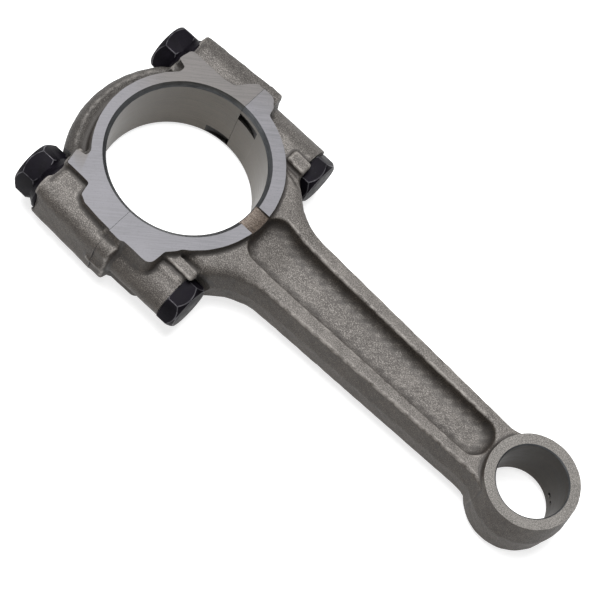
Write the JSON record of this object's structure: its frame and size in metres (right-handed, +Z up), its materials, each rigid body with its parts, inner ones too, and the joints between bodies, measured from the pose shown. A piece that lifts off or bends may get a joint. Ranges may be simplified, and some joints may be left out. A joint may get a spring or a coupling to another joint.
{
  "type": "connecting rod",
  "caption": "Forged steel connecting rod with a split big end, bolted cap, flange nuts, I-section beam and bushed small end.",
  "frame": {"origin": "middle of the footprint, at the height of the lower big-end thrust face", "axes": "+X along the rod from the big end to the small end, +Y across it, +Z up along both bores"},
  "size_m": [0.2134, 0.0874, 0.0292],
  "materials": {
    "forging": "shot-blasted grey-brown forging skin with bright machined faces and bore",
    "bush": "fine-bored satin, warm grey",
    "black_oxide_steel": "black oxide, satin, slightly violet"
  },
  "bodies": {
    "rod": {"rod": "forging", "small_end_bush": "bush"},
    "cap": {"big_end_cap": "forging"},
    "nut_front": {"cap_nut_front": "black_oxide_steel"},
    "nut_rear": {"cap_nut_rear": "black_oxide_steel"},
    "bolt_front": {"cap_bolt_front": "black_oxide_steel"},
    "bolt_rear": {"cap_bolt_rear": "black_oxide_steel"}
  },
  "joints": [
    {"name": "cap_slide", "type": "slide", "parent": "rod", "child": "cap", "axis": [-1, 0, 0], "range_m": [0, 0.045]},
    {"name": "nut_front_turn", "type": "hinge", "parent": "cap", "child": "nut_front", "pos_m": [-0.0924, 0.0334, 0.0146], "axis": [-1, 0, 0], "range_deg": [0, 3420]},
    {"name": "nut_rear_turn", "type": "hinge", "parent": "cap", "child": "nut_rear", "pos_m": [-0.0924, -0.0334, 0.0146], "axis": [-1, 0, 0], "range_deg": [0, 3420]},
    {"name": "bolt_front_slide", "type": "slide", "parent": "rod", "child": "bolt_front", "axis": [1, 0, 0], "range_m": [0, 0.01188]},
    {"name": "bolt_rear_slide", "type": "slide", "parent": "rod", "child": "bolt_rear", "axis": [1, 0, 0], "range_m": [0, 0.01188]}
  ],
  "couplings": [
    {"joint": "nut_front_turn", "follows": "bolt_front_slide", "rad_per_m": 5026.5},
    {"joint": "nut_rear_turn", "follows": "bolt_rear_slide", "rad_per_m": 5026.5}
  ]
}
